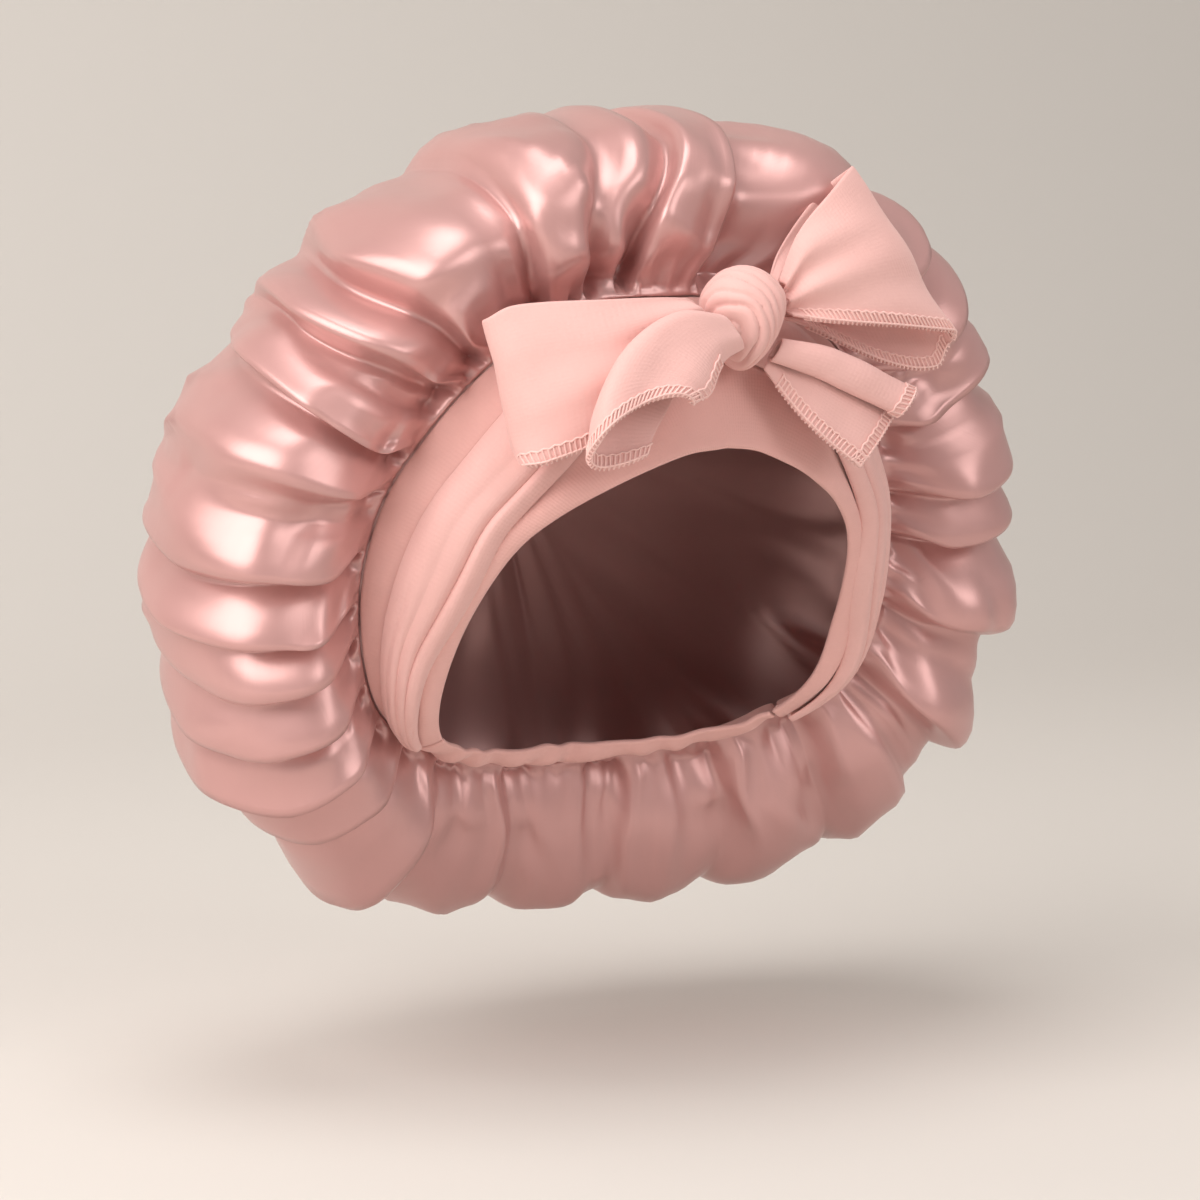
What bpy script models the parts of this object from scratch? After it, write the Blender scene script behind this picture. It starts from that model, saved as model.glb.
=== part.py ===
"""A puffy satin sleep bonnet with a wide jersey band and two ties knotted in a bow at the forehead.

Metres, +Z up. The face opening looks towards -Y and +X is on the right as seen from the front. The origin is
the middle of the seam ring, where the crown is gathered onto the band.
"""
import bisect
import math

import bmesh
import bpy
import numpy as np

# Seam ring, where the crown meets the band
SEAM_HALF_WIDTH = 0.107
SEAM_HALF_HEIGHT = 0.088
SEAM_HALF_DEPTH = 0.047

# Face edge of the band
FACE_HALF_WIDTH = 0.077
FACE_HALF_HEIGHT = 0.080
FACE_HALF_DEPTH = 0.073

# Band
BAND_WALL = 0.002
BAND_BULGE = 0.004
BAND_END_TURN = 137.0
NAPE_GATHERS = 9
NAPE_GATHER_HEIGHT = 0.0012

# Crown
CROWN_TILT = 16.0
CROWN_CENTRE_SETBACK = 0.020
CROWN_CENTRE_RISE = 0.003
CROWN_HALF_WIDTH = 0.170
CROWN_HALF_HEIGHT = 0.149
CROWN_BACK_DEPTH = 0.085
CROWN_WALL = 0.0015
CROWN_FOLD_DEPTH = 0.016
CROWN_FOLD_START = 0.12
CROWN_FOLD_EASING = 0.45

# Ties, each one strap sewn in at the nape, wrapped over the band and tied
TIE_WALL = 0.0012
TIE_WIDTH = 0.070
TIE_FOLD_HEIGHT = 0.0040
TIE_LIFT = 0.0007
TIE_RIDGE_SHARE = 0.45

# Bow, whose knot sits on the band a little beside the middle of the forehead
BOW_TURN = 3.0
BOW_SHARE = 0.69
BOW_LEAN = 14.0
LOOP_LENGTH = 0.091
TAIL_LENGTH = 0.076
BOW_PUFF = 0.014
KNOT_HALF_WIDTH = 0.0165
KNOT_HALF_HEIGHT = 0.0180
KNOT_HALF_DEPTH = 0.0150
KNOT_SKEW = 28.0
KNOT_WRAPS = 4
KNOT_WRAP_DEPTH = 0.0011

# Clearances between neighbouring pieces: sewn or lying against each other, and on both sides of the knot
CLEARANCE = 0.0004
KNOT_CLEARANCE = 0.0012

# How many faces each cloth has along and across
FACES = {
    "crown": (90, 14),
    "band": (64, 5),
    "nape_casing": (36, 2),
    "tie": (28, 6),
    "bow_loop": (22, 5),
    "bow_tail": (10, 14),
}

# Seam ring: shares of its half width, half height and half depth, by turn from the top in degrees
SEAM_RING = (
    ("turn", "side", "rise", "setback"),
    (
        (0, 0.00, 0.98, -1.00),
        (20, 0.34, 0.95, -0.93),
        (42, 0.66, 0.73, -0.77),
        (69, 0.89, 0.34, -0.40),
        (85, 0.97, 0.09, -0.24),
        (102, 1.00, -0.22, -0.14),
        (122, 0.92, -0.59, 0.03),
        (139, 0.70, -0.80, 0.43),
        (155, 0.44, -0.93, 0.76),
        (180, 0.00, -1.00, 1.00),
    ),
)

# Face edge of the band: shares of its own half width, half height and half depth
FACE_EDGE = (
    ("turn", "side", "rise", "setback"),
    (
        (0, 0.00, 0.44, -1.00),
        (20, 0.21, 0.41, -0.98),
        (42, 0.52, 0.28, -0.89),
        (69, 0.81, 0.08, -0.70),
        (85, 0.92, -0.10, -0.55),
        (102, 0.99, -0.38, -0.33),
        (122, 0.99, -0.69, -0.11),
        (139, 0.86, -0.89, 0.10),
        (155, 0.55, -0.98, 0.30),
        (180, 0.00, -1.00, 0.46),
    ),
)

# Crown's rim, all the way round from the nape: shares of its half width and half height. swell is how far the
# front puffs out ahead of the seam
CROWN_RIM = (
    ("turn", "side", "rise", "swell"),
    (
        (-180, 0.00, -1.05, 0.40),
        (-165, -0.27, -1.02, 0.60),
        (-150, -0.51, -0.92, 0.90),
        (-135, -0.70, -0.76, 1.00),
        (-115, -0.89, -0.47, 1.00),
        (-90, -0.98, 0.00, 1.00),
        (-60, -0.83, 0.48, 0.70),
        (-30, -0.48, 0.87, 0.30),
        (0, 0.00, 1.01, 0.00),
        (30, 0.50, 0.87, 0.05),
        (60, 0.86, 0.48, 0.50),
        (90, 1.01, 0.00, 1.00),
        (115, 0.97, -0.50, 1.00),
        (135, 0.81, -0.84, 1.00),
        (150, 0.60, -1.00, 0.90),
        (165, 0.31, -1.05, 0.60),
        (180, 0.00, -1.05, 0.40),
    ),
)

# Crown from the seam (0) over the rim to the middle of the back (1). join is the share of the seam ring's own
# reach, reach the share of the crown's radius, follow the share of the seam's own depth that is kept, depth the
# share of the back's depth, and front the share of that depth by which the front puffs out ahead of the seam
CROWN_SECTION = (
    ("place", "join", "reach", "follow", "depth", "front"),
    (
        (0.00, 1.00, 0.00, 1.00, 0.00, 0.00),
        (0.07, 0.80, 0.19, 1.00, 0.00, 0.13),
        (0.17, 0.35, 0.57, 1.00, 0.00, 0.22),
        (0.28, 0.00, 0.93, 0.90, 0.02, 0.14),
        (0.40, 0.00, 1.00, 0.50, 0.14, 0.00),
        (0.54, 0.00, 0.95, 0.20, 0.50, 0.00),
        (0.68, 0.00, 0.78, 0.00, 0.80, 0.00),
        (0.82, 0.00, 0.48, 0.00, 0.95, 0.00),
        (1.00, 0.00, 0.00, 0.00, 1.00, 0.00),
    ),
)
CROWN_RIM_PLACE = 0.40
CROWN_CORE_REACH = 0.60
CROWN_CORE_DEPTH = 0.10

# Valleys between the crown's gathered puffs. seam and rim are turns in degrees, depth is a share of the fold
# depth, width is in degrees and back is the share of the way to the middle of the back where the valley fades out
CROWN_VALLEYS = (
    ("seam", "rim", "depth", "width", "back"),
    (
        (-168, -172, 0.80, 6.5, 0.70),
        (-150, -158, 0.90, 7.0, 0.75),
        (-133, -132, 1.00, 7.0, 0.70),
        (-118, -112, 1.00, 7.0, 0.75),
        (-102, -102, 0.80, 6.0, 0.65),
        (-88, -89, 0.90, 7.0, 0.75),
        (-73, -68, 1.00, 7.0, 0.70),
        (-53, -58, 1.00, 6.5, 0.75),
        (-42, -43, 0.80, 6.5, 0.65),
        (-27, -28, 1.00, 6.5, 0.75),
        (-18, -14, 0.90, 5.5, 0.70),
        (-7, -4, 0.85, 5.5, 0.70),
        (8, 10, 0.90, 6.5, 0.75),
        (22, 25, 0.80, 6.0, 0.65),
        (38, 41, 0.90, 6.5, 0.75),
        (53, 55, 0.80, 6.0, 0.65),
        (68, 61, 1.00, 6.5, 0.75),
        (90, 86, 1.00, 7.0, 0.70),
        (105, 102, 0.80, 6.5, 0.75),
        (121, 116, 1.00, 7.0, 0.70),
        (135, 141, 1.00, 7.0, 0.75),
        (151, 155, 0.80, 6.5, 0.65),
        (169, 170, 0.90, 7.0, 0.75),
    ),
)

# Where each tie lies on the band, by turn away from the knot. front and back are shares of the way from the face
# edge to the seam, and folds is the share of the fold height
TIE_PATH = (
    ("turn", "front", "back", "folds"),
    (
        (0, 0.58, 0.94, 0.30),
        (20, 0.46, 0.90, 0.50),
        (45, 0.26, 0.74, 0.80),
        (70, 0.16, 0.68, 1.00),
        (95, 0.10, 0.70, 1.00),
        (115, 0.30, 0.78, 0.90),
        (128, 0.40, 0.82, 0.50),
        (135, 0.42, 0.84, 0.30),
    ),
)

# The bow's straps, in the bow's own plane. Runs are shares of the way from the knot's side to the loop's end, rises
# shares of the tie's width, and out shares of the bow's puff towards the front. place goes out along the front ply,
# round the fold and back behind
LEFT_LOOP = (
    ("place", "top_run", "top_rise", "low_run", "low_rise", "out"),
    (
        (0.00, -0.01, 0.06, -0.01, -0.14, 0.10),
        (0.10, 0.11, 0.09, 0.06, -0.20, 0.40),
        (0.25, 0.53, 0.09, 0.53, -0.54, 0.25),
        (0.40, 0.90, 0.10, 0.83, -0.66, -0.45),
        (0.48, 1.00, 0.06, 0.90, -0.66, -0.85),
        (0.54, 0.99, 0.06, 0.89, -0.64, -1.20),
        (0.62, 0.88, 0.06, 0.80, -0.60, -1.35),
        (0.78, 0.50, 0.04, 0.50, -0.46, -0.95),
        (0.90, 0.13, 0.03, 0.11, -0.16, -0.40),
        (1.00, -0.01, 0.02, -0.01, -0.10, -0.30),
    ),
)
RIGHT_LOOP = (
    ("place", "top_run", "top_rise", "low_run", "low_rise", "out"),
    (
        (0.00, -0.03, 0.18, -0.01, -0.01, 0.20),
        (0.10, 0.07, 0.40, 0.14, -0.05, 0.50),
        (0.25, 0.26, 0.60, 0.55, -0.08, 0.60),
        (0.40, 0.43, 0.74, 0.85, -0.10, 0.25),
        (0.48, 0.48, 0.76, 0.94, -0.11, -0.10),
        (0.54, 0.48, 0.75, 0.95, -0.15, -0.50),
        (0.62, 0.43, 0.71, 0.90, -0.24, -0.70),
        (0.78, 0.26, 0.56, 0.58, -0.20, -0.70),
        (0.90, 0.06, 0.34, 0.16, -0.04, -0.45),
        (1.00, -0.03, 0.15, -0.02, 0.01, -0.35),
    ),
)

# Where each tail comes out of the knot: shares of the knot's half width and half height
TAIL_ROOTS = (
    ("hand", "side", "rise"),
    (
        (-1, 0.78, -0.42),
        (1, 0.62, -0.89),
    ),
)

# The bow's tails are rolled straps. mid_run and mid_rise go from the tail's root to the middle of each section, as
# shares of its length. half is its half width and puff its half depth, turn the way its width lies, and out its
# middle towards the front
LEFT_TAIL = (
    ("place", "mid_run", "mid_rise", "half", "turn", "puff", "out"),
    (
        (0.00, 0.00, 0.00, 0.10, 58, 0.30, 0.80),
        (0.20, 0.19, -0.04, 0.17, 50, 0.40, 1.00),
        (0.50, 0.37, -0.18, 0.24, 35, 0.55, 1.05),
        (0.80, 0.50, -0.33, 0.27, 5, 0.60, 1.10),
        (1.00, 0.56, -0.44, 0.27, -14, 0.62, 1.15),
    ),
)
RIGHT_TAIL = (
    ("place", "mid_run", "mid_rise", "half", "turn", "puff", "out"),
    (
        (0.00, 0.00, 0.00, 0.09, 56, 0.25, 0.15),
        (0.25, 0.15, -0.09, 0.16, 58, 0.35, 0.25),
        (0.50, 0.27, -0.17, 0.20, 55, 0.40, 0.25),
        (0.75, 0.41, -0.25, 0.22, 52, 0.40, 0.20),
        (1.00, 0.55, -0.32, 0.24, 46, 0.42, 0.10),
    ),
)
TAIL_ROLL = 318.0
TAIL_UNDERCUT = 0.10
TAIL_SIDE_UNDERCUT = 0.03

SATIN = (0.60, 0.33, 0.31, 1.0)
JERSEY = (0.80, 0.49, 0.45, 1.0)

side_way = np.array([1.0, 0.0, 0.0])


def tilted(degrees):
    """The up and backward directions of a frame that leans forward by an angle."""
    angle = math.radians(degrees)
    up = np.array([0.0, -math.sin(angle), math.cos(angle)])
    back = np.array([0.0, math.cos(angle), math.sin(angle)])
    return up, back


crown_up, crown_back = tilted(CROWN_TILT)
crown_centre = np.array([0.0, CROWN_CENTRE_SETBACK, CROWN_CENTRE_RISE])
bow_rise_way = np.array([0.0, math.sin(math.radians(BOW_LEAN)), math.cos(math.radians(BOW_LEAN))])
bow_out_way = np.array([0.0, -math.cos(math.radians(BOW_LEAN)), math.sin(math.radians(BOW_LEAN))])


def read(table, name, place):
    """The smooth value of a named column at a place along the table's first column."""
    names, rows = table
    column = names.index(name)
    places = [row[0] for row in rows]
    place = min(max(place, places[0]), places[-1])
    i = min(bisect.bisect_right(places, place) - 1, len(rows) - 2)
    span = places[i + 1] - places[i]

    def slope(k):
        before, after = max(k - 1, 0), min(k + 1, len(rows) - 1)
        return (rows[after][column] - rows[before][column]) / (places[after] - places[before])

    t = (place - places[i]) / span
    start, end = rows[i][column], rows[i + 1][column]
    bend = t * t * (3 - 2 * t)
    lead = t * (1 - t) * ((1 - t) * (slope(i) * span) - t * (slope(i + 1) * span))
    return start + (end - start) * bend + lead


def bell(offset, width):
    """1 in the middle, 0 from a width away."""
    share = min(abs(offset) / width, 1.0)
    return (1 - share * share) ** 2


def ring_point(table, turn, half_width, half_height, half_depth):
    side = math.copysign(read(table, "side", abs(turn)), turn)
    rise = read(table, "rise", abs(turn))
    setback = read(table, "setback", abs(turn))
    return np.array([side * half_width, setback * half_depth, rise * half_height])


def seam_point(turn):
    return ring_point(SEAM_RING, turn, SEAM_HALF_WIDTH, SEAM_HALF_HEIGHT, SEAM_HALF_DEPTH)


def face_point(turn):
    return ring_point(FACE_EDGE, turn, FACE_HALF_WIDTH, FACE_HALF_HEIGHT, FACE_HALF_DEPTH)


def band_ruled(turn, share):
    return face_point(turn) * (1 - share) + seam_point(turn) * share


def band_outward(turn, share):
    """Away from the head, square to the band."""
    step = 1.0
    along = band_ruled(turn + step, share) - band_ruled(turn - step, share)
    across = band_ruled(turn, 1.0) - band_ruled(turn, 0.0)
    outward = np.cross(along, across)
    return outward / np.linalg.norm(outward)


def band_point(turn, share, lift=0.0):
    bulge = BAND_BULGE * math.sin(math.pi * min(max(share, 0.0), 1.0))
    return band_ruled(turn, share) + band_outward(turn, share) * (bulge + lift)


bow_centre = band_point(BOW_TURN, BOW_SHARE, KNOT_HALF_DEPTH + KNOT_CLEARANCE)
tie_start_turn = math.degrees(KNOT_HALF_WIDTH / SEAM_HALF_WIDTH)


def wrapped(turn):
    return (turn + 180.0) % 360.0 - 180.0


def crown_dent(turn, place):
    names, rows = CROWN_VALLEYS
    total = 0.0
    for seam, rim, depth, width, back in rows:
        centre = seam + (rim - seam) * min(place / CROWN_RIM_PLACE, 1.0)
        start = min(place / CROWN_FOLD_START, 1.0)
        fade = min(max((place - CROWN_RIM_PLACE) / (back - CROWN_RIM_PLACE), 0.0), 1.0)
        easing = 1 - CROWN_FOLD_EASING * min(place / CROWN_RIM_PLACE, 1.0)
        run = start * (1 - fade * fade * (3 - 2 * fade)) * easing
        total = max(total, depth * run * bell(wrapped(turn - centre), width))
    return total


def crown_point(turn, place):
    """The outer surface of the crown: place 0 at the seam, 1 in the middle of the back."""
    ring = seam_point(turn) - crown_centre
    ring_depth = ring @ crown_back
    ring_reach = ring - crown_back * ring_depth
    side, rise = read(CROWN_RIM, "side", turn), read(CROWN_RIM, "rise", turn)
    reach = crown_up * rise * CROWN_HALF_HEIGHT + side_way * side * CROWN_HALF_WIDTH
    front = read(CROWN_SECTION, "front", place) * read(CROWN_RIM, "swell", turn)
    depth = read(CROWN_SECTION, "follow", place) * ring_depth
    depth += (read(CROWN_SECTION, "depth", place) - front) * CROWN_BACK_DEPTH
    ring_reach = ring_reach * (1 + CLEARANCE * 1.5 / np.linalg.norm(ring_reach))
    point = crown_centre + crown_back * depth
    point = point + ring_reach * read(CROWN_SECTION, "join", place) + reach * read(CROWN_SECTION, "reach", place)
    core = crown_centre + reach * CROWN_CORE_REACH + crown_back * CROWN_BACK_DEPTH * CROWN_CORE_DEPTH
    inward = (core - point) / np.linalg.norm(core - point)
    return point + inward * CROWN_FOLD_DEPTH * crown_dent(turn, place)


def material(name, colour, roughness, metallic):
    made = bpy.data.materials.new(name)
    made.use_nodes = True
    shader = made.node_tree.nodes["Principled BSDF"]
    shader.inputs["Base Color"].default_value = colour
    shader.inputs["Roughness"].default_value = roughness
    shader.inputs["Metallic"].default_value = metallic
    made.diffuse_color = colour
    return made


def sheet(name, faces, shape, wall, finish, closed=False, offset=-1.0):
    """A grid laid along a surface and given a wall. shape turns shares along and across into a point."""
    columns, rows = faces
    mesh = bpy.data.meshes.new(name)
    grid = bmesh.new()
    bmesh.ops.create_grid(grid, x_segments=columns, y_segments=rows, size=0.5)
    for vertex in grid.verts:
        along, across = vertex.co.x + 0.5, vertex.co.y + 0.5
        vertex.co = shape(along, across)
    if closed:
        bmesh.ops.remove_doubles(grid, verts=grid.verts, dist=1e-5)
    grid.to_mesh(mesh)
    grid.free()
    mesh.materials.append(finish)
    mesh.shade_smooth()
    piece = bpy.data.objects.new(name, mesh)
    parts.objects.link(piece)
    wall_maker = piece.modifiers.new("wall", "SOLIDIFY")
    wall_maker.thickness = wall
    wall_maker.offset = offset
    wall_maker.use_even_offset = True
    return piece


def make_crown():
    def shape(along, across):
        return crown_point(360.0 * along - 180.0, across)

    sheet("crown", FACES["crown"], shape, CROWN_WALL, satin, closed=True)


def make_band():
    gap = math.degrees(CLEARANCE / FACE_HALF_WIDTH)

    def shape(along, across):
        turn = (2 * along - 1) * (BAND_END_TURN - gap)
        return band_point(turn, across)

    sheet("band", FACES["band"], shape, BAND_WALL, jersey)

    def nape_shape(along, across):
        span = 360.0 - 2 * (BAND_END_TURN + gap)
        turn = wrapped(BAND_END_TURN + gap + span * along)
        gather = 0.5 - 0.5 * math.cos(2 * math.pi * NAPE_GATHERS * along)
        return band_point(turn, across, -NAPE_GATHER_HEIGHT * gather)

    sheet("nape_casing", FACES["nape_casing"], nape_shape, BAND_WALL, jersey)


def make_tie(name, hand):
    """One tie where it lies over the band, from the knot round to the nape."""
    end = TIE_PATH[1][-1][0]

    def shape(along, across):
        turn = tie_start_turn + (end - tie_start_turn) * (along if hand > 0 else 1 - along)
        front, back = read(TIE_PATH, "front", turn), read(TIE_PATH, "back", turn)
        waves = 1 - TIE_RIDGE_SHARE + TIE_RIDGE_SHARE * math.cos(4 * math.pi * (across - 0.25))
        ridges = math.sin(math.pi * across) * waves
        lift = TIE_LIFT + TIE_FOLD_HEIGHT * read(TIE_PATH, "folds", turn) * abs(ridges)
        return band_point(hand * turn, front + (back - front) * across, lift)

    sheet(name, FACES["tie"], shape, TIE_WALL, jersey, offset=1.0)


def bow_point(run, rise, out):
    return bow_centre + side_way * run + bow_rise_way * rise + bow_out_way * out


def make_loop(name, table, hand):
    """A strap that leaves the knot, turns round at its outer end and comes back behind itself."""
    start = KNOT_HALF_WIDTH + KNOT_CLEARANCE

    def shape(along, across):
        place = along if hand < 0 else 1 - along
        run = read(table, "top_run", place) * across + read(table, "low_run", place) * (1 - across)
        rise = read(table, "top_rise", place) * across + read(table, "low_rise", place) * (1 - across)
        out = read(table, "out", place)
        run = start + run * (LOOP_LENGTH - start)
        return bow_point(hand * run, rise * TIE_WIDTH, out * BOW_PUFF)

    sheet(name, FACES["bow_loop"], shape, TIE_WALL, jersey, offset=0.0)


def make_tail(name, table, hand):
    """A rolled strap end, open at its mouth."""
    root_run = read(TAIL_ROOTS, "side", hand) * KNOT_HALF_WIDTH
    root_rise = read(TAIL_ROOTS, "rise", hand) * KNOT_HALF_HEIGHT

    def shape(along, across):
        angle = math.radians(-TAIL_ROLL / 2 + TAIL_ROLL * across + 90.0)
        width_way = math.radians(read(table, "turn", along))
        half = read(table, "half", along) * TIE_WIDTH * math.cos(angle)
        run = root_run + read(table, "mid_run", along) * TAIL_LENGTH
        rise = root_rise + read(table, "mid_rise", along) * TAIL_LENGTH
        out = read(table, "out", along) * BOW_PUFF + read(table, "puff", along) * BOW_PUFF * math.sin(angle)
        run -= TAIL_SIDE_UNDERCUT * along * TAIL_LENGTH * math.sin(angle)
        rise += TAIL_UNDERCUT * along * TAIL_LENGTH * math.sin(angle)
        return bow_point(hand * (run + half * math.cos(width_way)), rise + half * math.sin(width_way), out)

    sheet(name, FACES["bow_tail"], shape, TIE_WALL, jersey, offset=0.0)


def make_knot():
    mesh = bpy.data.meshes.new("bow_knot")
    ball = bmesh.new()
    bmesh.ops.create_uvsphere(ball, u_segments=24, v_segments=14, radius=1.0)
    skew = math.radians(KNOT_SKEW)
    for vertex in ball.verts:
        run, depth, rise = vertex.co
        level = rise * math.cos(skew) + run * math.sin(skew)
        groove = 0.5 - 0.5 * math.cos(2 * math.pi * KNOT_WRAPS * 0.5 * (level + 1))
        girth = 1 - KNOT_WRAP_DEPTH / KNOT_HALF_DEPTH * groove
        out = -depth * KNOT_HALF_DEPTH * girth
        vertex.co = bow_point(run * KNOT_HALF_WIDTH * girth, rise * KNOT_HALF_HEIGHT, out)
    ball.to_mesh(mesh)
    ball.free()
    mesh.materials.append(jersey)
    mesh.shade_smooth()
    parts.objects.link(bpy.data.objects.new("bow_knot", mesh))


for old in list(bpy.data.objects):
    bpy.data.objects.remove(old, do_unlink=True)

parts = bpy.data.collections.new("sleep_bonnet")
bpy.context.scene.collection.children.link(parts)
satin = material("satin", SATIN, 0.30, 0.1)
jersey = material("jersey", JERSEY, 0.85, 0.0)

make_crown()
make_band()
make_tie("tie_left", -1)
make_tie("tie_right", 1)
make_knot()
make_loop("bow_loop_left", LEFT_LOOP, -1)
make_loop("bow_loop_right", RIGHT_LOOP, 1)
make_tail("bow_tail_left", LEFT_TAIL, -1)
make_tail("bow_tail_right", RIGHT_TAIL, 1)
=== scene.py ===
import math
import random

import bmesh
import bpy
import numpy as np
from mathutils import Matrix, Vector, noise


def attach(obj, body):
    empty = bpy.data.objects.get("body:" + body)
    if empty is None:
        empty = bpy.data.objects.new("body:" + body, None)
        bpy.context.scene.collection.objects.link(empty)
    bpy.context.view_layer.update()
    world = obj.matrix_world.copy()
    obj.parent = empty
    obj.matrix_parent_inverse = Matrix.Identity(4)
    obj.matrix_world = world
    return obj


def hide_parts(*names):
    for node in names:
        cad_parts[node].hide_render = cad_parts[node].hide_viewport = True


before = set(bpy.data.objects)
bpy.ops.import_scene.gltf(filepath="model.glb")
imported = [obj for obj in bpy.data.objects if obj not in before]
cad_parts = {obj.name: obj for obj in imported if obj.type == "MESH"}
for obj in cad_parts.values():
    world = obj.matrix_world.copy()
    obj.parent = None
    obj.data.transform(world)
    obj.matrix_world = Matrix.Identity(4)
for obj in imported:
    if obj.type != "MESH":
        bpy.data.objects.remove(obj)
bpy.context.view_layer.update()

# The band: one wide strip of stretch jersey, cut on the fold, from one side of the nape over the forehead to
# the other. Its back edge is sewn to the crown and its face edge is turned in. Lengths are in metres.
# Turns are degrees round the face: 0 over the forehead, 180 at the nape, below 0 on the left from the front.
SEAM_HALF_WIDTH, SEAM_HALF_HEIGHT, SEAM_HALF_DEPTH = 0.107, 0.088, 0.047
FACE_HALF_WIDTH, FACE_HALF_HEIGHT, FACE_HALF_DEPTH = 0.077, 0.080, 0.073
BAND_WALL = 0.002
BAND_BULGE = 0.004
BAND_END_TURN = 137.0
CLEARANCE = 0.0004
BAND_EDGE_ROLL = 0.0022
BAND_ROLL_GROWS, BAND_ROLL_FADES = (25, 60), (122, 134)
BAND_ROLL_REACH, BAND_ROLL_WIDENING = 0.20, 0.16
BAND_ROLL_WIDENS = (96, 112)
BAND_UNEVENNESS = 0.0005
BAND_GRID = (200, 24)
KNIT_SCALE = 190.0
JERSEY_TONE = (0.790, 0.455, 0.415, 1.0)
JERSEY_SHADE = (0.720, 0.390, 0.355, 1.0)

# The band's two edges by turn, in shares of their half sizes.
SEAM_RING = (
    ("turn", "side", "rise", "setback"),
    (
        (0, 0.00, 0.98, -1.00),
        (20, 0.34, 0.95, -0.93),
        (42, 0.66, 0.73, -0.77),
        (69, 0.89, 0.34, -0.40),
        (85, 0.97, 0.09, -0.24),
        (102, 1.00, -0.22, -0.14),
        (122, 0.92, -0.59, 0.03),
        (139, 0.70, -0.80, 0.43),
        (155, 0.44, -0.93, 0.76),
        (180, 0.00, -1.00, 1.00),
    ),
)
FACE_EDGE = (
    ("turn", "side", "rise", "setback"),
    (
        (0, 0.00, 0.44, -1.00),
        (20, 0.21, 0.41, -0.98),
        (42, 0.52, 0.28, -0.89),
        (69, 0.81, 0.08, -0.70),
        (85, 0.92, -0.10, -0.55),
        (102, 0.99, -0.38, -0.33),
        (122, 0.99, -0.69, -0.11),
        (139, 0.86, -0.89, 0.10),
        (155, 0.55, -0.98, 0.30),
        (180, 0.00, -1.00, 0.46),
    ),
)


class Value:
    """A value in a finish's nodes, so that sums with it read as ordinary sums."""

    def __init__(self, finish, socket):
        self.finish = finish
        self.socket = socket

    def sum(self, operation, first, second=0.0):
        return self.finish.node("ShaderNodeMath", {"operation": operation}, {0: first, 1: second})[0]

    def __add__(self, other):
        return self.sum("ADD", self, other)

    def __radd__(self, other):
        return self.sum("ADD", other, self)

    def __mul__(self, other):
        return self.sum("MULTIPLY", self, other)

    def __rmul__(self, other):
        return self.sum("MULTIPLY", other, self)


class Finish:
    """A cloth's material, with its shader's sockets set by name."""

    def __init__(self, name):
        self.material = bpy.data.materials.new(name)
        self.material.use_nodes = True
        self.tree = self.material.node_tree
        self.shader = self.tree.nodes["Principled BSDF"]

    def node(self, kind, settings=None, inputs=None):
        made = self.tree.nodes.new(kind)
        for setting, value in (settings or {}).items():
            setattr(made, setting, value)
        for place, value in (inputs or {}).items():
            self.feed(made.inputs[place], value)
        return [Value(self, socket) for socket in made.outputs if socket.enabled]

    def feed(self, socket, value):
        if isinstance(value, Value):
            self.tree.links.new(value.socket, socket)
        else:
            socket.default_value = value

    def set(self, **sockets):
        for name, value in sockets.items():
            self.feed(self.shader.inputs[name.replace("_", " ")], value)

    def solid(self):
        """Where a point is in the object's own coordinates."""
        return next(value for value in self.node("ShaderNodeTexCoord") if value.socket.name == "Object")

    def mixed(self, share, first, second):
        return self.node(
            "ShaderNodeMix", {"data_type": "RGBA"}, {"Factor": share, "A": first, "B": second}
        )[0]


def jersey_finish(name, tone, shade):
    """Fine stretch jersey: a matt knit with soft fuzz and small stitches in columns."""
    cloth = Finish(name)
    weave = cloth.node("ShaderNodeUVMap", {"uv_map": "weave"})[0]
    solid = cloth.solid()
    cloud = cloth.node(
        "ShaderNodeTexNoise", {}, {"Vector": solid, "Scale": 38.0, "Detail": 4.0, "Roughness": 0.6}
    )[0]
    fuzz = cloth.node("ShaderNodeTexNoise", {}, {"Vector": solid, "Scale": 900.0, "Detail": 3.0})[0]
    knit = cloth.node(
        "ShaderNodeTexWave",
        {"wave_type": "BANDS", "bands_direction": "X"},
        {"Vector": weave, "Scale": KNIT_SCALE, "Distortion": 1.5, "Detail": 1.0, "Detail Scale": 3.0},
    )[1]
    rows = cloth.node(
        "ShaderNodeTexWave",
        {"wave_type": "BANDS", "bands_direction": "Y"},
        {"Vector": weave, "Scale": KNIT_SCALE * 1.3, "Distortion": 2.0, "Detail": 1.0, "Detail Scale": 3.0},
    )[1]
    grain = knit * 0.6 + rows * 0.4
    colour = cloth.mixed(cloud * 0.8 + fuzz * 0.25, tone, shade)
    relief = grain * 0.5 + fuzz * 0.5
    bump = cloth.node("ShaderNodeBump", {}, {"Strength": 0.22, "Distance": 0.0006, "Height": relief})[0]
    cloth.set(Base_Color=colour, Roughness=0.78 + cloud * 0.16, Normal=bump)
    cloth.set(Sheen_Weight=0.35, Sheen_Roughness=0.45, Sheen_Tint=(1.0, 0.86, 0.82, 1.0))
    cloth.set(Specular_IOR_Level=0.3)
    return cloth.material


jersey = jersey_finish("jersey", JERSEY_TONE, JERSEY_SHADE)


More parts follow.
